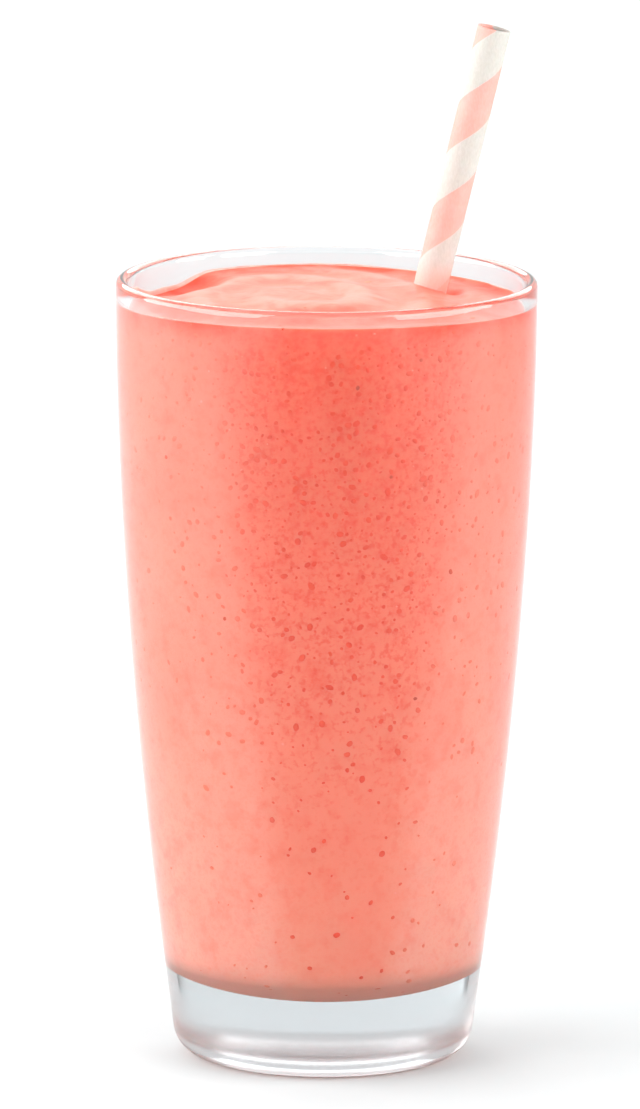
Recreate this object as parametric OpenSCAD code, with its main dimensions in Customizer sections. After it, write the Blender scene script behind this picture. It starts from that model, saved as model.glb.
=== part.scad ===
// Strawberry smoothie in a tall tumbler, with a striped paper straw standing in it.
// Millimetres, +Z up. The origin is the middle of the glass's foot, on the table.
// The front of the drink faces -Y.

/* [Glass] */
// Height of the glass
glass_h = 161; // [130:1:195]
// Outer diameter at the mouth
mouth_d = 86; // [76:1:104]
// Outer diameter that the side would have at the table, before the foot is rounded
foot_d = 60; // [52:1:72]
// Bow of the side: 1 is a straight taper, and more swells it
side_bow = 1.82; // [1.2:0.02:2.4]
// Wall at the lip, which is fully rounded
lip_wall = 2.4; // [1.8:0.1:3.6]
// Wall that the side would have at the table
foot_wall = 3.2; // [1.8:0.1:4.5]
// Height of the clear base, from the table up to the middle of the inner floor
base_h = 14.6; // [8:0.2:24]
// How far the dished inner floor would rise by the time it meets the wall
floor_dish = 4.6; // [1:0.2:7]
// Radius of the foot's rounded outer corner
foot_round = 6; // [2:0.5:8]
// Radius of the rounded corner between the inner floor and the wall
floor_round = 5; // [2:0.5:8]
// Radius of the shallow hollow under the foot
punt_r = 17; // [8:0.5:17]
// Depth of that hollow
punt_h = 0.8; // [0.3:0.1:3]

/* [Smoothie] */
// Depth of the drink's edge below the rim, averaged round the glass
fill_drop = 5; // [4:0.5:30]
// How far the edge rises at the front and back and falls at the two sides
edge_sway = 0.45; // [0:0.05:0.8]
// How far the front stands above this level, and the back below it
front_rise = 0.35; // [0:0.05:0.8]
// Height of the broad mound that the pour left towards the back
mound_h = 1.4; // [0:0.1:2]
// Radius of the mound
mound_r = 27; // [16:1:34]
// Depth of the hollow at the left back, where the drink has sunk off the wall
hollow_h = 2.4; // [0:0.1:3]
// Radius of the hollow
hollow_r = 10; // [6:0.5:18]
// Height of a swirl's ridge above its furrow
swirl_h = 0.9; // [0:0.1:1.2]
// Distance from one swirl ridge to the next
swirl_pitch = 14.5; // [10:0.5:24]
// Distance of the swirl's eye from the middle of the glass
swirl_off = 7; // [0:0.5:12]

/* [Straw] */
// Outer diameter of the straw
straw_d = 7; // [5:0.5:10]
// Thickness of its paper wall
straw_wall = 0.4; // [0.3:0.05:0.8]
// Length of the straw
straw_len = 197.2; // [170:0.2:250]
// Lean of the straw from upright, towards +X
straw_lean = 13.3; // [0:0.1:15]
// Direction from the middle of the glass to the straw's lower end
straw_dir = 124.7; // [90:0.1:180]

/* [Fits] */
// Clearance between the drink and the glass, and between the drink and the straw
touch_gap = 0.1; // [0.05:0.01:0.2]
// Clearance under the straw's lower end, measured straight down to the inner floor
straw_seat = 0.3; // [0.25:0.05:1]
// Distance of the straw's lower end from the rounded corner of the inner floor
straw_inset = 1.7; // [0.2:0.1:6]

/* [Hidden] */
$fn = 96;

side_steps = 28;   // straight pieces in the side's curve
arc_steps = 8;     // straight pieces in a rounded corner
punt_steps = 5;    // straight pieces in the hollow under the foot
surface_rings = 20;
surface_sectors = 60;

lip_r = lip_wall / 2;
lip_z = glass_h - lip_r;
mouth_r = mouth_d / 2;
taper = (mouth_d - foot_d) / 2;

// Outer radius of the side at height z, and how fast it widens there
function side_r(z) = mouth_r - taper * pow((glass_h - z) / glass_h, side_bow);
function side_slope(z) = taper * side_bow / glass_h * pow((glass_h - z) / glass_h, side_bow - 1);

// The wall thins from the table to the lip
wall_slope = (lip_wall - foot_wall) / glass_h;
function bore_r(z) = side_r(z) - foot_wall - wall_slope * z;
function bore_slope(z) = side_slope(z) - wall_slope;

// Both rounded corners end where they are tangent to the side above them
foot_lean = atan(side_slope(foot_round));
foot_top = foot_round * (1 - sin(foot_lean));
foot_cx = side_r(foot_top) - foot_round * cos(foot_lean);
corner_h = floor_dish + floor_round;
corner_z = base_h + corner_h;
floor_lean = atan(bore_slope(corner_z));
floor_top = corner_z - floor_round * sin(floor_lean);
corner_r = bore_r(floor_top) - floor_round * cos(floor_lean);

// The floor is part of a ball that meets the rounded corner without a crease
floor_ball = (corner_r * corner_r + corner_h * corner_h - floor_round * floor_round) / (2 * floor_dish);
floor_turn = atan2(corner_r, floor_ball - corner_h);
function floor_z(r) = base_h + floor_ball - sqrt(floor_ball * floor_ball - r * r);

function arc(cx, cz, r, from, to) =
    [for (i = [0:arc_steps]) let (a = from + (to - from) * i / arc_steps) [cx + r * cos(a), cz + r * sin(a)]];

function heights(from, to) = [for (i = [1:side_steps - 1]) from + (to - from) * i / side_steps];

function reversed(list) = [for (i = [len(list) - 1:-1:0]) list[i]];

function rest(list) = [for (i = [1:len(list) - 1]) list[i]];

// Inside of the glass from the middle of the floor up to the lip, drawn in by a gap
function inside(gap) = concat(
    arc(0, base_h + floor_ball, floor_ball - gap, -90, floor_turn - 90),
    rest(arc(corner_r, corner_z, floor_round - gap, floor_turn - 90, -floor_lean)),
    [for (z = heights(floor_top, lip_z)) [bore_r(z) - gap, z]]
);

punt = [for (i = [0:punt_steps]) let (t = i / punt_steps) [punt_r * t, punt_h * (1 - t * t)]];

glass_outline = concat(
    punt,
    arc(foot_cx, foot_round, foot_round, -90, -foot_lean),
    [for (z = heights(foot_top, lip_z)) [side_r(z), z]],
    arc(mouth_r - lip_r, lip_z, lip_r, 0, 180),
    reversed(inside(0))
);

// Everything inside the glass, from the floor to the lip
filled_outline = concat(inside(touch_gap), [[bore_r(lip_z) - touch_gap, lip_z], [0, lip_z]]);

// The drink's surface
fill_z = glass_h - fill_drop;
drink_r = bore_r(fill_z) - touch_gap;
mound_at = polar(0.38 * drink_r, 113);
hollow_at = polar(0.94 * drink_r, 146);
swirl_eye = polar(swirl_off, 152);
swirl_core = swirl_pitch / 2;        // the ridges fade out inside this radius

function polar(r, a) = [r * cos(a), r * sin(a)];

// A rise of 1 that is flat in the middle and has a rounded shoulder, or with power 2 a soft bump
function bump(p, at, r, power) = exp(-pow(norm(p - at) / r, power));

// Winds outwards from its eye, with ridges that wander a little as they go round
function swirl(p) =
    let (
        d = p - swirl_eye,
        a = atan2(d.y, d.x),
        wander = 0.09 * sin(2 * a + 50) + 0.05 * sin(3 * a - 20),
        turns = norm(d) / swirl_pitch * (1 + wander),
        core = 1 - bump(p, swirl_eye, swirl_core, 2),
        wall = 1 - pow(min(norm(p) / drink_r, 1), 6)
    )
    swirl_h / 2 * core * wall * cos(360 * turns - a);

function surface_z(p) =
    fill_z
    + edge_sway * (p.y * p.y - p.x * p.x) / (drink_r * drink_r)
    - front_rise * p.y / drink_r
    + mound_h * bump(p, mound_at, mound_r, 4)
    - hollow_h * bump(p, hollow_at, hollow_r, 4)
    + swirl(p);

// A block whose top is the drink's surface and whose sides lie inside the glass wall
module surface_block() {
    block_r = drink_r + lip_r;
    rings = [
        for (i = [1:surface_rings])
        for (j = [0:surface_sectors - 1])
        let (p = polar(block_r * i / surface_rings, 360 * j / surface_sectors))
        [p.x, p.y, surface_z(p)]
    ];
    foot_ring = [
        for (j = [0:surface_sectors - 1])
        let (p = polar(block_r, 360 * j / surface_sectors))
        [p.x, p.y, base_h / 2]
    ];
    points = concat([[0, 0, surface_z([0, 0])]], rings, foot_ring, [[0, 0, base_h / 2]]);
    last = len(points) - 1;

    function at(i, j) = 1 + (i - 1) * surface_sectors + j % surface_sectors;

    polyhedron(points, concat(
        [for (j = [0:surface_sectors - 1]) [0, at(1, j + 1), at(1, j)]],
        [
            for (i = [1:surface_rings])
            for (j = [0:surface_sectors - 1])
            for (half = [0, 1])
            half == 0
                ? [at(i, j), at(i, j + 1), at(i + 1, j + 1)]
                : [at(i, j), at(i + 1, j + 1), at(i + 1, j)]
        ],
        [for (j = [0:surface_sectors - 1]) [last, at(surface_rings + 1, j), at(surface_rings + 1, j + 1)]]
    ));
}

// The straw's lower end stands just above the dished floor, so each point of its rim is tried
straw_foot = polar(corner_r - straw_d / 2 - straw_inset, straw_dir);
straw_foot_z = straw_seat + max([
    for (a = [0:10:350])
    let (rim = straw_foot + straw_d / 2 * [cos(a) * cos(straw_lean), sin(a)])
    floor_z(norm(rim)) + straw_d / 2 * cos(a) * sin(straw_lean)
]);

module at_straw() {
    translate([straw_foot.x, straw_foot.y, straw_foot_z]) rotate([0, straw_lean, 0]) children();
}

// The paper wall, thickened by a gap on every side
module straw_tube(gap) {
    difference() {
        translate([0, 0, -gap]) cylinder(h = straw_len + 2 * gap, r = straw_d / 2 + gap);
        translate([0, 0, -2 * gap - 1]) cylinder(h = straw_len + 4 * gap + 2, r = straw_d / 2 - straw_wall - gap);
    }
}

module glass() {
    color([0.86, 0.9, 0.92, 0.35]) rotate_extrude() polygon(glass_outline);
}

module smoothie() {
    color([1, 0.56, 0.46]) difference() {
        intersection() {
            rotate_extrude() polygon(filled_outline);
            surface_block();
        }
        at_straw() straw_tube(touch_gap);
    }
}

module straw() {
    color([0.96, 0.9, 0.84]) at_straw() straw_tube(0);
}

glass();
smoothie();
straw();
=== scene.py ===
"""Strawberry smoothie in a tall tumbler, with a striped paper straw standing in it.

Metres, +Z up, in the frame of the CAD model: the origin is the middle of the glass's foot,
and the front of the drink faces -Y. Sizes that the frame can give come from it.
"""
import math

import bmesh
import bpy
import numpy as np
from mathutils import Matrix, Vector


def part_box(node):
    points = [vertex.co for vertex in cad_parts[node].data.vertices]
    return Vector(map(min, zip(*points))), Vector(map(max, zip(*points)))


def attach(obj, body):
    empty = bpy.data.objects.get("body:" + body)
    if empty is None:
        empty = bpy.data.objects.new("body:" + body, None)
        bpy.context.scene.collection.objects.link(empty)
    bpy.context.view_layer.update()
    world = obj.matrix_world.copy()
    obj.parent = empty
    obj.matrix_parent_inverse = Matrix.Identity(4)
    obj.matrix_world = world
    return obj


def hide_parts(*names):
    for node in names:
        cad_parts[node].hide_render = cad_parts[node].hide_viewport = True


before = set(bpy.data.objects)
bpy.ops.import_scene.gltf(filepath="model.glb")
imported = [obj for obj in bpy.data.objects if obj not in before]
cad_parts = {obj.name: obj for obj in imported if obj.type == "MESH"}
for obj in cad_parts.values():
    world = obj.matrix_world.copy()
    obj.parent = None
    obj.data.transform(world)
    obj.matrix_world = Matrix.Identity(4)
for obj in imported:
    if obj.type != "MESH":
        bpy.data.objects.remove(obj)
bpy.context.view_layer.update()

MM = 0.001

# ---------------------------------------------------------------- sizes of the glass

GLASS_LOW, GLASS_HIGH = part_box("glass")
STRAW_LOW, STRAW_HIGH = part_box("straw")

GLASS_H = GLASS_HIGH.z
MOUTH_R = GLASS_HIGH.x
FOOT_R = 30 * MM            # where the side would meet the table
SIDE_BOW = 1.82             # 1 is a straight taper
LIP_WALL = 2.4 * MM
FOOT_WALL = 3.2 * MM        # wall that the side would have at the table
BASE_H = 14.6 * MM          # table to the middle of the inner floor
FLOOR_DISH = 4.6 * MM       # how far the dished floor would rise at the wall
FOOT_ROUND = 6 * MM
FLOOR_ROUND = 5 * MM
PUNT_R = 17 * MM
PUNT_H = 0.8 * MM
LIP_R = LIP_WALL / 2
LIP_Z = GLASS_H - LIP_R
ROUND_STEPS = 12            # straight pieces in a rounded corner
SECTORS = 256               # divisions round the glass and the drink

# ---------------------------------------------------------------- sizes of the drink

REACH = 0.25 * MM           # how far the drink goes into the glass wall, so no air shows
FILL_Z = GLASS_H - 5 * MM
SURFACE = {
    "Edge sway": 0.45 * MM,
    "Front rise": 0.35 * MM,
    "Mound height": 1.4 * MM,
    "Mound radius": 27 * MM,
    "Hollow depth": 2.4 * MM,
    "Hollow radius": 10 * MM,
    "Swirl height": 0.9 * MM,
    "Swirl pitch": 14.5 * MM,
    "Swirl offset": 7 * MM,
    "Climb on the wall": 0.7 * MM,
    "Climb on the straw": 0.5 * MM,
    "Gap beside the straw": 1.4 * MM,
    "Relief height": 0.22 * MM,
    "Relief size": 7 * MM,
}

LIFT_DEPTH = 20 * MM        # how far below the top the drink's body follows its surface
TOP_SLOT_DEPTH = 4 * MM     # the top's finish starts this far below the flat fill height
FRONT_SKEW = 0.1            # turns the front's painted shade, and the front's denser grains, a little towards +X

# ---------------------------------------------------------------- sizes of the straw

STRAW_LEAN = math.radians(13.3)
STRAW_R = (STRAW_HIGH.y - STRAW_LOW.y) / 2
STRAW_WALL = 0.4 * MM
STRIPE_PITCH = 22.3 * MM    # one pink and one cream stripe, along the straw
STRIPE_START = 0.93         # turn of the stripes round the straw, as a share of a pitch
STRAW_LEN = (STRAW_HIGH.z - STRAW_LOW.z - 2 * STRAW_R * math.sin(STRAW_LEAN)) / math.cos(STRAW_LEAN)
STRAW_FOOT = Vector((
    STRAW_LOW.x + STRAW_R * math.cos(STRAW_LEAN),
    (STRAW_LOW.y + STRAW_HIGH.y) / 2,
    STRAW_LOW.z + STRAW_R * math.sin(STRAW_LEAN),
))
STRAW_AT_SURFACE = STRAW_FOOT + Vector((math.tan(STRAW_LEAN), 0, 1)) * (FILL_Z - STRAW_FOOT.z)


# ---------------------------------------------------------------- node trees as formulas

class Value:
    """A socket of a node tree that takes part in sums, so a formula in nodes reads as one."""

    def __init__(self, tree, socket):
        self.tree = tree
        self.socket = socket

    def math(self, operation, *others):
        return math_node(self.tree, operation, self, *others)

    def __add__(self, other):
        return self.math("ADD", other)

    def __sub__(self, other):
        return self.math("SUBTRACT", other)

    def __mul__(self, other):
        return self.math("MULTIPLY", other)

    def __truediv__(self, other):
        return self.math("DIVIDE", other)

    def __pow__(self, other):
        return self.math("POWER", other)

    def __neg__(self):
        return self.math("MULTIPLY", -1.0)

    def __rsub__(self, other):
        return math_node(self.tree, "SUBTRACT", other, self)

    def __rtruediv__(self, other):
        return math_node(self.tree, "DIVIDE", other, self)

    __radd__ = __add__
    __rmul__ = __mul__


def feed(tree, socket, value):
    """Links a Value to a socket, or sets the socket to a plain number, colour or vector."""
    if isinstance(value, Value):
        tree.links.new(value.socket, socket)
    elif value is not None:
        socket.default_value = value


def add_node(tree, kind, inputs=None, **settings):
    """A new node with its settings and its inputs, which are named or numbered."""
    node = tree.nodes.new(kind)
    for name, value in settings.items():
        setattr(node, name, value)
    for key, value in (inputs or {}).items():
        feed(tree, node.inputs[key], value)
    return node


def math_node(tree, operation, *values):
    node = add_node(tree, "ShaderNodeMath", dict(enumerate(values)), operation=operation)
    return Value(tree, node.outputs[0])


def hypot(a, b):
    return (a * a + b * b).math("SQRT")


def exp(a):
    return a.math("EXPONENT")


def ramp(value, low, high, smooth=True):
    """0 below low, 1 above high, and a smooth rise between them."""
    kind = "SMOOTHSTEP" if smooth else "LINEAR"
    node = add_node(value.tree, "ShaderNodeMapRange",
                    {"Value": value, "From Min": low, "From Max": high}, interpolation_type=kind)
    return Value(value.tree, node.outputs["Result"])


def noise(tree, place, scale, detail=2.0, roughness=0.5, distortion=0.0):
    """Noise from 0 to 1 at a place, with scale in features per metre."""
    node = add_node(tree, "ShaderNodeTexNoise",
                    {"Vector": place, "Scale": scale, "Detail": detail, "Roughness": roughness,
                     "Distortion": distortion})
    return Value(tree, node.outputs[0])


def stretched(tree, place, scale):
    node = add_node(tree, "ShaderNodeVectorMath", {0: place, 1: scale}, operation="MULTIPLY")
    return Value(tree, node.outputs["Vector"])


def parts(tree, place):
    node = add_node(tree, "ShaderNodeSeparateXYZ", {0: place})
    return [Value(tree, out) for out in node.outputs]


# ---------------------------------------------------------------- meshes

def link(name, mesh):
    piece = bpy.data.objects.new(name, mesh)
    bpy.context.scene.collection.objects.link(piece)
    return piece


def smooth_and_outward(mesh):
    """Smooth faces that all point out of a closed shell."""
    shell = bmesh.new()
    shell.from_mesh(mesh)
    bmesh.ops.recalc_face_normals(shell, faces=shell.faces)
    for face in shell.faces:
        face.smooth = True
    shell.to_mesh(mesh)
    shell.free()


def ring_faces(rows, sectors, closed=True):
    """Faces between neighbouring rings of points, and from the last ring to the first if closed."""
    def at(row, sector):
        return (row % rows) * sectors + sector % sectors

    return [
        (at(i, j), at(i, j + 1), at(i + 1, j + 1), at(i + 1, j))
        for i in range(rows if closed else rows - 1)
        for j in range(sectors)
    ]


def lathe(name, outline, sectors=SECTORS):
    """A closed shell turned about Z from (radius, height) points. A point on the axis is a pole,
    and an outline with none closes on itself like a ring."""
    outline = np.array(outline)
    poled = outline[0][0] == 0
    turn = 2 * math.pi * np.arange(sectors) / sectors
    rows = outline[1:-1] if poled else outline
    grid = np.stack([
        rows[:, :1] * np.cos(turn),
        rows[:, :1] * np.sin(turn),
        np.repeat(rows[:, 1:], sectors, axis=1),
    ], axis=2).reshape(-1, 3)
    points = [tuple(p) for p in grid]
    faces = ring_faces(len(rows), sectors, closed=not poled)
    if poled:
        first_pole, last_pole = len(points), len(points) + 1
        last_ring = len(points) - sectors
        points += [(0, 0, outline[0][1]), (0, 0, outline[-1][1])]
        faces += [(first_pole, (j + 1) % sectors, j) for j in range(sectors)]
        faces += [(last_pole, last_ring + j, last_ring + (j + 1) % sectors) for j in range(sectors)]
    mesh = bpy.data.meshes.new(name)
    mesh.from_pydata(points, [], faces)
    smooth_and_outward(mesh)
    return link(name, mesh)


def coordinates(mesh):
    """The points of a mesh as rows of x, y and z."""
    co = np.zeros(len(mesh.vertices) * 3)
    mesh.vertices.foreach_get("co", co)
    return co.reshape(-1, 3)


def arc(centre, radius, start, stop, steps=ROUND_STEPS):
    """Points of an arc in the (radius, height) plane, with its ends in radians."""
    return [
        (centre[0] + radius * math.cos(a), centre[1] + radius * math.sin(a))
        for a in np.linspace(start, stop, steps + 1)
    ]


# ---------------------------------------------------------------- the glass's outline

TAPER = MOUTH_R - FOOT_R
WALL_SLOPE = (LIP_WALL - FOOT_WALL) / GLASS_H


def side_r(z):
    return MOUTH_R - TAPER * max(1 - z / GLASS_H, 0) ** SIDE_BOW


def side_slope(z):
    return TAPER * SIDE_BOW / GLASS_H * (1 - z / GLASS_H) ** (SIDE_BOW - 1)


def bore_r(z):
    return side_r(z) - FOOT_WALL - WALL_SLOPE * z


FOOT_LEAN = math.atan(side_slope(FOOT_ROUND))
FOOT_TOP = FOOT_ROUND * (1 - math.sin(FOOT_LEAN))
FOOT_CX = side_r(FOOT_TOP) - FOOT_ROUND * math.cos(FOOT_LEAN)
CORNER_Z = BASE_H + FLOOR_DISH + FLOOR_ROUND
FLOOR_LEAN = math.atan(side_slope(CORNER_Z) - WALL_SLOPE)
FLOOR_TOP = CORNER_Z - FLOOR_ROUND * math.sin(FLOOR_LEAN)
CORNER_R = bore_r(FLOOR_TOP) - FLOOR_ROUND * math.cos(FLOOR_LEAN)
# The floor is part of a ball that meets the rounded corner without a crease
FLOOR_BALL = (CORNER_R ** 2 + (FLOOR_DISH + FLOOR_ROUND) ** 2 - FLOOR_ROUND ** 2) / (2 * FLOOR_DISH)
FLOOR_TURN = math.atan2(CORNER_R, FLOOR_BALL - FLOOR_DISH - FLOOR_ROUND)
DRINK_R = bore_r(FILL_Z)


def heights(low, high, steps):
    """Heights between two ends, without the ends."""
    return np.linspace(low, high, steps + 1)[1:-1]


def inside(reach, top, steps):
    """The glass's inside from the middle of the floor up its wall, moved out by a reach."""
    down = -math.pi / 2
    return [
        (0, BASE_H - reach),
        *arc((0, BASE_H + FLOOR_BALL), FLOOR_BALL + reach, down, down + FLOOR_TURN)[1:-1],
        *arc((CORNER_R, CORNER_Z), FLOOR_ROUND + reach, down + FLOOR_TURN, -FLOOR_LEAN),
        *[(bore_r(z) + reach, z) for z in heights(FLOOR_TOP, top, steps)],
    ]


def make_tumbler():
    punt = [(PUNT_R * t, PUNT_H * (1 - t * t)) for t in np.linspace(0, 1, ROUND_STEPS + 1)]
    outline = [
        *punt,
        *arc((FOOT_CX, FOOT_ROUND), FOOT_ROUND, -math.pi / 2, -FOOT_LEAN),
        *[(side_r(z), z) for z in heights(FOOT_TOP, LIP_Z, 64)],
        *arc((MOUTH_R - LIP_R, LIP_Z), LIP_R, 0, math.pi),
        *inside(0, LIP_Z, 64)[::-1],
    ]
    tumbler = lathe("tumbler", outline)
    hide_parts("glass")
    return tumbler


# ---------------------------------------------------------------- geometry node trees

def new_geometry_tree(name, inputs):
    """A tree with a geometry input and output and a named number input for each size."""
    tree = bpy.data.node_groups.new(name, "GeometryNodeTree")
    tree.interface.new_socket("Geometry", in_out="INPUT", socket_type="NodeSocketGeometry")
    for size in inputs:
        tree.interface.new_socket(size, in_out="INPUT", socket_type="NodeSocketFloat")
    tree.interface.new_socket("Finish", in_out="INPUT", socket_type="NodeSocketMaterial")
    tree.interface.new_socket("Geometry", in_out="OUTPUT", socket_type="NodeSocketGeometry")
    source = tree.nodes.new("NodeGroupInput")
    return tree, {out.name: Value(tree, out) for out in source.outputs if out.name}


def end_tree(tree, geometry, finish):
    """Ends a tree in Realize Instances and Set Material."""
    real = add_node(tree, "GeometryNodeRealizeInstances", {0: geometry})
    painted = add_node(tree, "GeometryNodeSetMaterial",
                       {"Geometry": Value(tree, real.outputs[0]), "Material": finish})
    sink = tree.nodes.new("NodeGroupOutput")
    tree.links.new(painted.outputs[0], sink.inputs[0])


def stored(tree, geometry, name, value):
    """Keeps a number on every point, for a finish to read."""
    node = add_node(tree, "GeometryNodeStoreNamedAttribute",
                    {"Geometry": geometry, "Name": name, "Value": value},
                    data_type="FLOAT", domain="POINT")
    return Value(tree, node.outputs[0])


def grown(name, seedling, tree, sizes, finish):
    """The plain mesh that a tree makes from an object, as a new piece."""
    modifier = seedling.modifiers.new(tree.name, "NODES")
    modifier.node_group = tree
    for item in tree.interface.items_tree:
        if item.in_out == "INPUT" and item.name in sizes:
            modifier[item.identifier] = sizes[item.name]
        elif item.in_out == "INPUT" and item.name == "Finish":
            modifier[item.identifier] = finish
    bpy.context.view_layer.update()
    depsgraph = bpy.context.evaluated_depsgraph_get()
    mesh = bpy.data.meshes.new_from_object(seedling.evaluated_get(depsgraph), depsgraph=depsgraph)
    mesh.name = name
    seedling.modifiers.clear()
    return link(name, mesh)


def polar(radius, degrees):
    return radius * math.cos(math.radians(degrees)), radius * math.sin(math.radians(degrees))


MOUND_AT = polar(0.38 * DRINK_R, 113)
HOLLOW_AT = polar(0.94 * DRINK_R, 146)
SWIRL_DIRECTION = polar(1, 152)


def drink_surface_tree():
    """Lifts the flat top of the drink into its swirl, mound and hollow, and draws it up the
    wall and the straw. The swirl follows the rule of the CAD solid."""
    tree, size = new_geometry_tree("Drink surface", SURFACE)
    place = Value(tree, add_node(tree, "GeometryNodeInputPosition").outputs[0])
    x, y, z = parts(tree, place)
    lift = Value(tree, add_node(tree, "GeometryNodeInputNamedAttribute", {"Name": "lift"},
                                data_type="FLOAT").outputs[0])

    def bump(at, radius, power):
        return exp(-((hypot(x - at[0], y - at[1]) / radius) ** power))

    eye = [size["Swirl offset"] * part for part in SWIRL_DIRECTION]
    dx, dy = x - eye[0], y - eye[1]
    around = dy.math("ARCTAN2", dx)
    out = hypot(dx, dy)
    rho = hypot(x, y) / DRINK_R
    wander = (around * 2 + math.radians(50)).math("SINE") * 0.09
    wander = wander + (around * 3 - math.radians(20)).math("SINE") * 0.05
    turns = out / size["Swirl pitch"] * (wander + 1)
    core = 1 - bump(eye, size["Swirl pitch"] * 0.5, 2.0)
    wall = 1 - rho.math("MINIMUM", 1.0) ** 6.0
    swirl = (turns * (2 * math.pi) - around).math("COSINE") * core * wall * size["Swirl height"] * 0.5

    form = size["Edge sway"] * (y * y - x * x) / DRINK_R ** 2
    form = form - size["Front rise"] * y / DRINK_R
    form = form + size["Mound height"] * bump(MOUND_AT, size["Mound radius"], 4.0)
    form = form - size["Hollow depth"] * bump(HOLLOW_AT, size["Hollow radius"], 4.0)

    grain = noise(tree, place, 1 / size["Relief size"], detail=3.0, distortion=0.6) - 0.5
    relief = grain * size["Relief height"] * 2 * wall
    from_wall = (DRINK_R - hypot(x, y)).math("MAXIMUM", 0.0)
    climb = size["Climb on the wall"] * exp(-(from_wall / (0.9 * MM)))
    from_straw = (hypot(x - STRAW_AT_SURFACE.x, y - STRAW_AT_SURFACE.y) - STRAW_R).math("MAXIMUM", 0.0)
    climb = climb + size["Climb on the straw"] * exp(-(from_straw / (0.8 * MM)))
    gap_at = STRAW_AT_SURFACE.x + STRAW_R + 1.2 * MM, STRAW_AT_SURFACE.y - 0.8 * MM
    gap = size["Gap beside the straw"] * bump(gap_at, 1.7 * MM, 2.0)

    rise = (form + swirl + relief + climb - gap) * lift
    up = add_node(tree, "ShaderNodeCombineXYZ", {"Z": rise})
    lifted = add_node(tree, "GeometryNodeSetPosition",
                      {"Geometry": size["Geometry"], "Offset": Value(tree, up.outputs[0])})
    below = (form + FILL_Z - z).math("MAXIMUM", 0.0)
    depth = stored(tree, Value(tree, lifted.outputs[0]), "depth", below)
    # The swirl's height is kept for the drink's finish, which paints shade in its troughs and light on
    # its crests.
    ridge = swirl / (size["Swirl height"] * 0.5)
    end_tree(tree, stored(tree, depth, "ridge", ridge), size["Finish"])
    return tree


def make_smoothie(finish, top_finish):
    """The drink: a turned body that reaches into the wall, with a top finer than the CAD's."""
    rim_r = bore_r(FILL_Z) + REACH
    near_wall = [rim_r - step * MM for step in (0, 0.15, 0.3, 0.45, 0.65, 0.9, 1.2, 1.6, 2.1)]
    across = np.linspace(near_wall[-1], 0, 96)[1:]
    outline = [
        *inside(REACH, FILL_Z, 48),
        *[(r, FILL_Z) for r in near_wall],
        *[(r, FILL_Z) for r in across],
    ]
    blank = lathe("drink_blank", outline)
    mesh = blank.data
    rise = np.clip(1 - (FILL_Z - coordinates(mesh)[:, 2]) / LIFT_DEPTH, 0, 1)
    lift = mesh.attributes.new("lift", "FLOAT", "POINT")
    lift.data.foreach_set("value", rise * rise * (3 - 2 * rise))
    smoothie = grown("blended_drink", blank, drink_surface_tree(), SURFACE, finish)
    bpy.data.objects.remove(blank)
    smoothie.data.materials.append(top_finish)
    for face in smoothie.data.polygons:
        face.use_smooth = True
        inside_rim = face.center.xy.length < rim_r - 0.05 * MM
        face.material_index = int(face.center.z > FILL_Z - TOP_SLOT_DEPTH and inside_rim)
    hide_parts("smoothie")
    return smoothie


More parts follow.
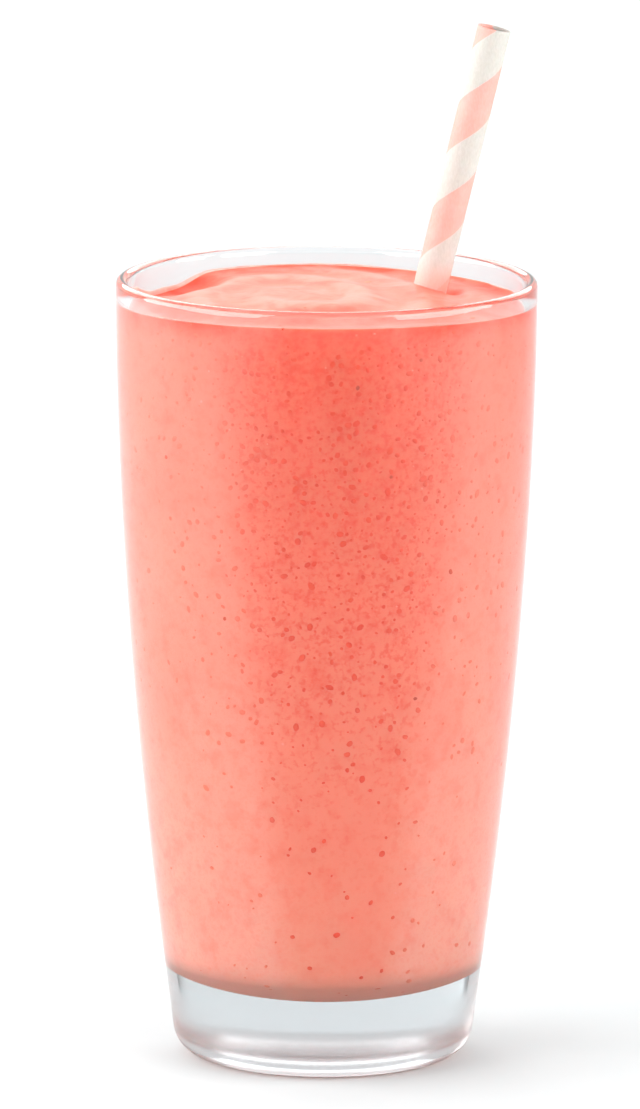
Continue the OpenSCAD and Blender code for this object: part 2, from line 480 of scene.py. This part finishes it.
def scatter_tree(name):
    """Scatters flat grains over a surface, each with a size, a length and a turn of its own."""
    sizes = ("Density", "Apart", "Smallest", "Largest", "Longest", "Thickness", "Sink", "Lumps", "Seed")
    tree, size = new_geometry_tree(name, sizes)
    weight = Value(tree, add_node(tree, "GeometryNodeInputNamedAttribute", {"Name": "grain"},
                                  data_type="FLOAT").outputs[0])
    spread = add_node(tree, "GeometryNodeDistributePointsOnFaces",
                      {"Mesh": size["Geometry"], "Distance Min": size["Apart"],
                       "Density Max": size["Density"], "Density Factor": weight,
                       "Seed": size["Seed"]},
                      distribute_method="POISSON")
    inward = add_node(tree, "ShaderNodeVectorMath",
                      {0: Value(tree, spread.outputs["Normal"]), "Scale": -size["Sink"]},
                      operation="SCALE")
    sunk = add_node(tree, "GeometryNodeSetPosition",
                    {"Geometry": Value(tree, spread.outputs["Points"]),
                     "Offset": Value(tree, inward.outputs["Vector"])})

    def chance(low, high, salt):
        node = add_node(tree, "FunctionNodeRandomValue", {"Seed": size["Seed"] + salt},
                        data_type="FLOAT")
        feed(tree, node.inputs[2], low)
        feed(tree, node.inputs[3], high)
        return Value(tree, node.outputs[1])

    skew = chance(0.0, 1.0, 11)
    girth = size["Smallest"] + (size["Largest"] - size["Smallest"]) * skew * skew
    shape = add_node(tree, "ShaderNodeCombineXYZ",
                     {"X": girth * chance(1.0, size["Longest"], 12), "Y": girth,
                      "Z": size["Thickness"]})
    twist = add_node(tree, "ShaderNodeCombineXYZ", {"Z": chance(0.0, 2 * math.pi, 13)})
    spin = add_node(tree, "FunctionNodeEulerToRotation", {0: Value(tree, twist.outputs[0])})
    turn = add_node(tree, "FunctionNodeRotateRotation",
                    {"Rotation": Value(tree, spread.outputs["Rotation"]),
                     "Rotate By": Value(tree, spin.outputs[0])}, rotation_space="LOCAL")
    grain = add_node(tree, "GeometryNodeMeshIcoSphere", {"Radius": 0.5, "Subdivisions": 2})
    placed = add_node(tree, "GeometryNodeInstanceOnPoints",
                      {"Points": Value(tree, sunk.outputs[0]), "Instance": Value(tree, grain.outputs[0]),
                       "Rotation": Value(tree, turn.outputs[0]), "Scale": Value(tree, shape.outputs[0])})
    real = add_node(tree, "GeometryNodeRealizeInstances", {0: Value(tree, placed.outputs[0])})
    place = Value(tree, add_node(tree, "GeometryNodeInputPosition").outputs[0])
    lumps = add_node(tree, "ShaderNodeTexNoise",
                     {"Vector": place, "Scale": 1 / (0.5 * MM), "Detail": 0.0})
    centred = add_node(tree, "ShaderNodeVectorMath",
                       {0: Value(tree, lumps.outputs["Color"]), 1: (0.5, 0.5, 0.5)},
                       operation="SUBTRACT")
    push = add_node(tree, "ShaderNodeVectorMath",
                    {0: Value(tree, centred.outputs["Vector"]), "Scale": size["Lumps"]},
                    operation="SCALE")
    lumpy = add_node(tree, "GeometryNodeSetPosition",
                     {"Geometry": Value(tree, real.outputs[0]),
                      "Offset": Value(tree, push.outputs["Vector"])})
    soft = add_node(tree, "GeometryNodeSetShadeSmooth", {"Geometry": Value(tree, lumpy.outputs[0])})
    end_tree(tree, Value(tree, soft.outputs[0]), size["Finish"])
    return tree


GRAINS = {
    "pulp_specks": {
        "Density": 250000.0, "Apart": 1.3 * MM, "Smallest": 0.4 * MM, "Largest": 1.35 * MM,
        "Longest": 1.6, "Thickness": 0.30 * MM, "Sink": 0.05 * MM, "Lumps": 0.14 * MM, "Seed": 3,
    },
    "seeds": {
        "Density": 1500.0, "Apart": 9 * MM, "Smallest": 0.8 * MM, "Largest": 1.2 * MM,
        "Longest": 1.4, "Thickness": 0.45 * MM, "Sink": 0.12 * MM, "Lumps": 0.1 * MM, "Seed": 8,
    },
    "bubbles": {
        "Density": 9000.0, "Apart": 3 * MM, "Smallest": 0.25 * MM, "Largest": 0.8 * MM,
        "Longest": 1.1, "Thickness": 0.25 * MM, "Sink": 0.08 * MM, "Lumps": 0.0, "Seed": 5,
    },
}


def scatter_grains(drink, finishes):
    """Pulp, seeds and small bubbles in the skin of the drink, one piece for each kind."""
    mesh = drink.data
    x, y, z = coordinates(mesh).T
    across = np.hypot(x, y)
    # Grains show most high up at the front, and hardly at all on top or along the edge
    above_floor = np.clip((z - BASE_H - 1.5 * MM) / (2 * MM), 0, 1)
    higher_up = 0.15 + 0.85 * np.clip((z - 55 * MM) / (70 * MM), 0, 1)
    facing = (FRONT_SKEW * x - y) / np.maximum(across, MM)
    front = 0.22 + 0.78 * np.clip((facing - 0.5) / 0.4, 0, 1)
    on_top = (z > FILL_Z - 3 * MM) & (across < DRINK_R - 0.3 * MM) | (z > FILL_Z - 1.5 * MM)
    weight = mesh.attributes.new("grain", "FLOAT", "POINT")
    weight.data.foreach_set("value", above_floor * higher_up * front * np.where(on_top, 0.04, 1))
    pieces = []
    for name, sizes in GRAINS.items():
        tree = scatter_tree("Scattered " + name.replace("_", " "))
        pieces.append(grown(name, drink, tree, sizes, finishes[name]))
    mesh.attributes.remove(mesh.attributes["grain"])
    return pieces


# ---------------------------------------------------------------- the film on the wall

def make_film():
    """The drink's thin film on the wall just above its edge, widest at the left back."""
    thickness, thin_edge, buried = 0.22 * MM, 0.02 * MM, 0.04 * MM
    overlap = 0.45 * MM
    turn = 2 * math.pi * np.arange(SECTORS) / SECTORS
    rng = np.random.default_rng(4)
    ragged = sum(
        rng.uniform(0.3, 1) / k ** 0.6 * np.sin(k * turn + rng.uniform(0, 2 * math.pi))
        for k in (3, 5, 8, 13, 21, 34)
    )
    back_left = np.exp(-((np.degrees(turn) - 152) / 26) ** 2)
    width = (0.5 + 0.14 * ragged + 1.1 * back_left * (1 + 0.4 * ragged)) * MM
    width = np.maximum(width, 0.25 * MM)
    x, y = DRINK_R * np.cos(turn), DRINK_R * np.sin(turn)
    from_mound = np.hypot(x - MOUND_AT[0], y - MOUND_AT[1]) / SURFACE["Mound radius"]
    from_hollow = np.hypot(x - HOLLOW_AT[0], y - HOLLOW_AT[1]) / SURFACE["Hollow radius"]
    edge = FILL_Z + SURFACE["Climb on the wall"] - overlap
    edge = edge + SURFACE["Edge sway"] * (y * y - x * x) / DRINK_R ** 2
    edge = edge - SURFACE["Front rise"] * y / DRINK_R
    edge = edge + SURFACE["Mound height"] * np.exp(-from_mound ** 4)
    edge = edge - SURFACE["Hollow depth"] * np.exp(-from_hollow ** 4)
    upwards = [i / 9 for i in range(10)]
    face = [(DRINK_R - (thickness * (1 - t ** 3) + thin_edge), t) for t in upwards]
    back = [(DRINK_R + buried, t) for t in reversed(upwards)]
    points = []
    for r, t in face + back:
        points += zip(r * np.cos(turn), r * np.sin(turn), edge + width * t)
    faces = ring_faces(len(face + back), SECTORS)
    mesh = bpy.data.meshes.new("wall_film")
    mesh.from_pydata(points, [], faces)
    smooth_and_outward(mesh)
    return link("wall_film", mesh)


# ---------------------------------------------------------------- the straw

def make_straw():
    """A paper tube wound from one strip: the outside steps up a little along the strip's edge."""
    sectors, rows = 72, 260
    seam = 0.045 * MM
    end_round = 0.06 * MM
    end_band = 0.6 * MM
    top = STRAW_LEN
    along = [0, end_round, *np.linspace(end_band, top - end_band, rows), top - end_round, top]
    outer = [(STRAW_R - (end_round if z in (0, top) else 0), z) for z in along]
    bore = STRAW_R - STRAW_WALL
    inner = [(bore + (end_round if z in (0, top) else 0), z) for z in along[::-1]]
    outline = outer + inner
    points = []
    for r, z in outline:
        for j in range(sectors):
            turn = j / sectors
            edge = (z / STRIPE_PITCH - turn + STRIPE_START) % 1.0
            step = seam * (edge - 1) if r > STRAW_R - STRAW_WALL / 2 else 0
            points.append(((r + step) * math.cos(2 * math.pi * turn),
                           (r + step) * math.sin(2 * math.pi * turn), z))
    maps = []
    for (_, low), (_, high) in zip(outline, outline[1:] + outline[:1]):
        low, high = low / STRAW_LEN, high / STRAW_LEN
        for j in range(sectors):
            left, right = j / sectors, (j + 1) / sectors
            maps.append(((left, low), (right, low), (right, high), (left, high)))
    mesh = bpy.data.meshes.new("paper_straw")
    mesh.from_pydata(points, [], ring_faces(len(outline), sectors))
    layer = mesh.uv_layers.new(name="wrap")
    for face, corners in zip(mesh.polygons, maps):
        for loop, uv in zip(face.loop_indices, corners):
            layer.data[loop].uv = uv
    mesh.transform(Matrix.Translation(STRAW_FOOT) @ Matrix.Rotation(STRAW_LEAN, 4, "Y"))
    smooth_and_outward(mesh)
    straw = link("paper_straw", mesh)
    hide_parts("straw")
    return straw


# ---------------------------------------------------------------- finishes

def new_finish(name):
    material = bpy.data.materials.new(name)
    material.use_nodes = True
    tree = material.node_tree
    return material, tree, tree.nodes["Principled BSDF"]


def colour_mix(tree, share, low, high):
    node = add_node(tree, "ShaderNodeMix", {"Factor": share}, data_type="RGBA")
    feed(tree, node.inputs[6], low)
    feed(tree, node.inputs[7], high)
    return Value(tree, node.outputs[2])


def rgb(red, green, blue):
    return red, green, blue, 1.0


def object_place(tree):
    return Value(tree, add_node(tree, "ShaderNodeTexCoord").outputs["Object"])


def set_bump(tree, shader, height, strength, distance):
    node = add_node(tree, "ShaderNodeBump",
                    {"Height": height, "Strength": strength, "Distance": distance})
    tree.links.new(node.outputs[0], shader.inputs["Normal"])


def clear_glass():
    """Soda-lime glass with a faint cool tint: polished above, satin low in the base, where the
    mould leaves its skin, and ground on the foot ring."""
    material, tree, shader = new_finish("clear_glass")
    place = object_place(tree)
    z = parts(tree, place)[2]
    shader.inputs["Base Color"].default_value = rgb(0.875, 0.885, 0.89)
    shader.inputs["Transmission Weight"].default_value = 1.0
    shader.inputs["IOR"].default_value = 1.5
    smear = ramp(noise(tree, place, 40, detail=3.0), 0.45, 0.75)
    pressed = ramp(z, 14 * MM, 7 * MM)
    ground = ramp(z, 2.6 * MM, 1.2 * MM)
    feed(tree, shader.inputs["Roughness"], smear * 0.012 + pressed * 0.22 + ground * 0.63)
    set_bump(tree, shader, noise(tree, place, 22, detail=1.0), 0.04, 0.5 * MM)
    depth = add_node(tree, "ShaderNodeVolumeAbsorption",
                     {"Color": rgb(0.79, 0.798, 0.81), "Density": 27.0})
    output = tree.nodes["Material Output"]
    tree.links.new(depth.outputs[0], output.inputs["Volume"])
    return material


def attribute(tree, name):
    return Value(tree, add_node(tree, "ShaderNodeAttribute", attribute_name=name).outputs["Fac"])


def front_shade_share(x, y, z):
    """1 at the front, where the drink's colour is painted darker as shade, and 0 round the sides and
    the back, which are painted paler as if lit. The patch is widest near the top."""
    return ramp((x * FRONT_SKEW - y) / hypot(x, y), 0.92 - z * 1.3, 0.99)


def blended_strawberry(name, roughness, specular, relief):
    """Thick blended fruit and milk: coral pink, mottled, paler low down and at its surface. Its sides
    and underside are painted paler as light, its front darker as shade, and its top darker in the
    swirl's troughs as shade and lighter on its crests as light.
    """
    material, tree, shader = new_finish(name)
    place = object_place(tree)
    clouds = noise(tree, stretched(tree, place, (1.0, 1.0, 0.7)), 45, detail=2.0, distortion=0.5)
    patches = noise(tree, place, 260, detail=3.0, roughness=0.6)
    grain = noise(tree, place, 800, detail=2.0, roughness=0.6)
    x, y, z = parts(tree, place)
    low = ramp(z, 150 * MM, 25 * MM, smooth=False)
    # Painted light and shade: the sides and back are painted paler as if lit by the side softboxes, and
    # the front darker as shade where the front light is weak.
    side_lit_colour = colour_mix(tree, low, rgb(0.91, 0.285, 0.200), rgb(0.93, 0.430, 0.335))
    front_shade_colour = colour_mix(tree, low, rgb(0.90, 0.162, 0.087), rgb(0.93, 0.345, 0.240))
    front = front_shade_share(x, y, z)
    body = colour_mix(tree, front, side_lit_colour, front_shade_colour)
    pulpy = front * ramp(z, 30 * MM, 100 * MM)
    for share, tint in (
        (ramp(clouds, 0.35, 0.75) * 0.35, rgb(0.91, 0.235, 0.160)),
        (ramp(patches, 0.45, 0.75) * (pulpy * 0.35 + 0.22), rgb(0.88, 0.105, 0.058)),
        (ramp(grain, 0.45, 0.8) * 0.40, rgb(0.92, 0.260, 0.180)),
        (ramp(grain, 0.52, 0.3) * (pulpy * 0.6 + 0.12), rgb(0.87, 0.108, 0.058)),
        # Painted light: the drink's underside, seen through the foot, is painted paler in place of light
        # that the glass keeps from it.
        (ramp(z, 24 * MM, 17 * MM) * 0.8, rgb(0.99, 0.340, 0.245)),
    ):
        body = colour_mix(tree, share, body, tint)
    depth = attribute(tree, "depth")
    froth = exp(-(depth / (1.7 * MM))) * (noise(tree, place, 330, detail=3.0) * 0.3 + 0.75)
    streaks = noise(tree, place, 110, detail=3.0, distortion=1.0)
    # Painted shade and light: the top's skin is painted darker in the swirl's troughs and lighter on its
    # crests, mixed with random streaks.
    streaks_and_swirl_shade = attribute(tree, "ridge") * 0.5 + streaks * 4.0 - 2.1
    skin = colour_mix(tree, ramp(streaks_and_swirl_shade, -0.9, 0.7), rgb(0.85, 0.095, 0.055), rgb(0.88, 0.205, 0.153))
    body = colour_mix(tree, froth, body, skin)
    feed(tree, shader.inputs["Base Color"], body)
    shader.inputs["IOR"].default_value = 1.36
    shader.inputs["Subsurface Weight"].default_value = 0.7
    shader.inputs["Subsurface Radius"].default_value = (1.0, 0.42, 0.30)
    shader.inputs["Subsurface Scale"].default_value = 6 * MM
    shader.inputs["Specular IOR Level"].default_value = specular
    feed(tree, shader.inputs["Roughness"], noise(tree, place, 700) * 0.1 + roughness)
    froth_relief = noise(tree, place, 1400, detail=2.0) * 0.5 + noise(tree, place, 500, detail=2.0)
    set_bump(tree, shader, froth_relief, relief, 0.3 * MM)
    return material


def speckled(name, dark, light, side_lit_colour, roughness, subsurface):
    """A finish for grains in the drink, whose colour drifts from one grain to the next and
    turns to the paler side colour where the drink's sides are painted paler as lit."""
    material, tree, shader = new_finish(name)
    place = object_place(tree)
    drift = ramp(noise(tree, place, 300, detail=1.0), 0.35, 0.65)
    x, y, z = parts(tree, place)
    tone = colour_mix(tree, drift, dark, light)
    # Painted light: round the sides the grains take the paler colour painted there as light; at the
    # front they keep their own tone.
    feed(tree, shader.inputs["Base Color"], colour_mix(tree, front_shade_share(x, y, z), side_lit_colour, tone))
    shader.inputs["Roughness"].default_value = roughness
    shader.inputs["Subsurface Weight"].default_value = subsurface
    shader.inputs["Subsurface Scale"].default_value = 0.4 * MM
    shader.inputs["Specular IOR Level"].default_value = 0.1
    set_bump(tree, shader, noise(tree, place, 6000, detail=1.0), 0.15, 0.05 * MM)
    return material


def milky_film():
    """A thin film of drink on glass, pale where it thins towards its upper edge."""
    material, tree, shader = new_finish("milky_film")
    place = object_place(tree)
    mottle = ramp(noise(tree, place, 420, detail=3.0), 0.35, 0.7)
    milk = colour_mix(tree, mottle, rgb(0.66, 0.31, 0.25), rgb(0.72, 0.43, 0.37))
    feed(tree, shader.inputs["Base Color"], milk)
    shader.inputs["Roughness"].default_value = 0.3
    shader.inputs["Subsurface Weight"].default_value = 0.4
    shader.inputs["Subsurface Scale"].default_value = 1.0 * MM
    set_bump(tree, shader, noise(tree, place, 1500, detail=2.0), 0.2, 0.1 * MM)
    return material


def striped_paper():
    """Matte wound paper: a salmon and a cream stripe, and fibres."""
    material, tree, shader = new_finish("striped_paper")
    wrap = Value(tree, add_node(tree, "ShaderNodeUVMap", uv_map="wrap").outputs[0])
    turn, along = parts(tree, wrap)[:2]
    place = object_place(tree)
    fibre = noise(tree, stretched(tree, place, (1.0, 1.0, 0.35)), 2600, detail=3.0, roughness=0.65)
    blot = noise(tree, place, 260, detail=2.0)
    phase = along * (STRAW_LEN / STRIPE_PITCH) - turn + STRIPE_START + (fibre - 0.5) * 0.012
    phase = phase.math("FRACT")
    edge = 0.008
    pink = ramp(phase, 0.0, edge) * (1 - ramp(phase, 0.5 - edge / 2, 0.5 + edge / 2))
    cream = colour_mix(tree, ramp(fibre, 0.3, 0.7), rgb(0.372, 0.358, 0.325), rgb(0.412, 0.402, 0.370))
    salmon = colour_mix(tree, ramp(fibre, 0.3, 0.7), rgb(0.58, 0.245, 0.205), rgb(0.62, 0.275, 0.235))
    ink = colour_mix(tree, ramp(blot, 0.4, 0.8) * 0.35, salmon, rgb(0.62, 0.33, 0.285))
    paper = colour_mix(tree, pink, cream, ink)
    z = parts(tree, place)[2]
    wet = ramp(z, FILL_Z + 7 * MM, FILL_Z + 1 * MM)
    paper = colour_mix(tree, wet * 0.6, paper, rgb(0.66, 0.30, 0.235))
    feed(tree, shader.inputs["Base Color"], paper)
    feed(tree, shader.inputs["Roughness"], 0.72 - fibre * 0.12)
    shader.inputs["Subsurface Weight"].default_value = 0.15
    shader.inputs["Subsurface Scale"].default_value = 0.6 * MM
    set_bump(tree, shader, fibre, 0.3, 0.05 * MM)
    return material


# ---------------------------------------------------------------- floor, light and camera

def make_floor():
    """A wide pale table, a hair above the foot's underside so that no gap shows under it."""
    half, level = 8.0, 0.02 * MM
    corners = [(-half, -half, level), (half, -half, level), (half, half, level), (-half, half, level)]
    mesh = bpy.data.meshes.new("floor")
    mesh.from_pydata(corners, [], [(0, 1, 2, 3)])
    floor = link("floor", mesh)
    material, tree, shader = new_finish("pale_paper_floor")
    clouds = noise(tree, object_place(tree), 60, detail=2.0)
    paper = colour_mix(tree, clouds, rgb(0.500, 0.530, 0.536), rgb(0.514, 0.545, 0.551))
    feed(tree, shader.inputs["Base Color"], paper)
    shader.inputs["Roughness"].default_value = 0.9
    shader.inputs["Specular IOR Level"].default_value = 0.1
    floor.data.materials.append(material)


def softbox(name, place, aim, width, height, radiance):
    """A rectangular light whose face has the given radiance, turned to a point."""
    light = bpy.data.lights.new(name, "AREA")
    light.shape = "RECTANGLE"
    light.size = width
    light.size_y = height
    light.energy = radiance * width * height * math.pi
    lamp = bpy.data.objects.new(name, light)
    bpy.context.scene.collection.objects.link(lamp)
    lamp.location = place
    lamp.rotation_euler = (Vector(aim) - Vector(place)).to_track_quat("-Z", "Y").to_euler()
    return lamp


def make_studio():
    """Two tall softboxes at the sides, one overhead, and a room that is dim in front."""
    middle = (0, 0, 0.10)
    softbox("left_softbox", (-0.78, -0.20, 0.40), middle, 1.5, 0.66, 6.8)
    softbox("right_softbox", (0.74, -0.30, 0.37), middle, 1.05, 0.6, 6.8)
    softbox("top_softbox", (-0.40, 0.55, 1.0), middle, 1.1, 0.9, 1.5)
    softbox("back_softbox", (0, 2.0, 1.1), (0, 1.6, 0), 3.2, 1.6, 3.4)
    world = bpy.data.worlds.new("room")
    bpy.context.scene.world = world
    world.use_nodes = True
    tree = world.node_tree
    way = Value(tree, add_node(tree, "ShaderNodeTexCoord").outputs["Generated"])
    y, z = parts(tree, way)[1:]
    light = colour_mix(tree, ramp(y, -0.8, 0.0), rgb(1.45, 1.45, 1.45), rgb(0.95, 0.95, 0.95))
    light = colour_mix(tree, ramp(z, 0.3, 0.6), light, rgb(0.22, 0.22, 0.22))
    background = tree.nodes["Background"]
    feed(tree, background.inputs["Color"], light)
    background.inputs["Strength"].default_value = 1.0


CAMERA_BACK = 2.467
CAMERA_UP = 0.565
CAMERA_SIDE = -1.1 * MM
CAMERA_PITCH = 10.59        # degrees below the horizon
CAMERA_ROLL = 0.3
SENSOR_MM = 36.0            # long side of the sensor
LENS_MM = 398.046


def make_camera():
    data = bpy.data.cameras.new("camera")
    data.sensor_fit = "AUTO"
    data.sensor_width = SENSOR_MM
    data.lens = LENS_MM
    data.clip_end = 50
    camera = bpy.data.objects.new("camera", data)
    bpy.context.scene.collection.objects.link(camera)
    camera.location = (CAMERA_SIDE, -CAMERA_BACK, CAMERA_UP)
    tilt = Matrix.Rotation(math.radians(90 - CAMERA_PITCH), 4, "X")
    roll = Matrix.Rotation(math.radians(CAMERA_ROLL), 4, "Z")
    camera.rotation_euler = (tilt @ roll).to_euler()
    bpy.context.scene.camera = camera
    bpy.context.scene.view_settings.view_transform = "Standard"


# ---------------------------------------------------------------- everything in its place

make_camera()
make_floor()
make_studio()

FINISHES = {
    "pulp_specks": speckled("pulp", rgb(0.84, 0.086, 0.040), rgb(0.89, 0.118, 0.056),
                            rgb(0.91, 0.225, 0.142), 0.7, 0.3),
    "seeds": speckled("seed_skin", rgb(0.50, 0.070, 0.038), rgb(0.70, 0.10, 0.045),
                      rgb(0.74, 0.120, 0.060), 0.45, 0.0),
    "bubbles": speckled("bubble_skin", rgb(0.92, 0.26, 0.18), rgb(0.93, 0.34, 0.26),
                        rgb(0.93, 0.36, 0.28), 0.5, 0.3),
}

tumbler = make_tumbler()
tumbler.data.materials.append(clear_glass())
smoothie = make_smoothie(
    blended_strawberry("drink_against_glass", 0.65, 0.08, 0.03),
    blended_strawberry("drink_surface", 0.42, 0.16, 0.25),
)
film = make_film()
film.data.materials.append(milky_film())
straw = make_straw()
straw.data.materials.append(striped_paper())
grains = scatter_grains(smoothie, FINISHES)

for piece in (tumbler, smoothie, film, straw, *grains):
    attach(piece, "root")
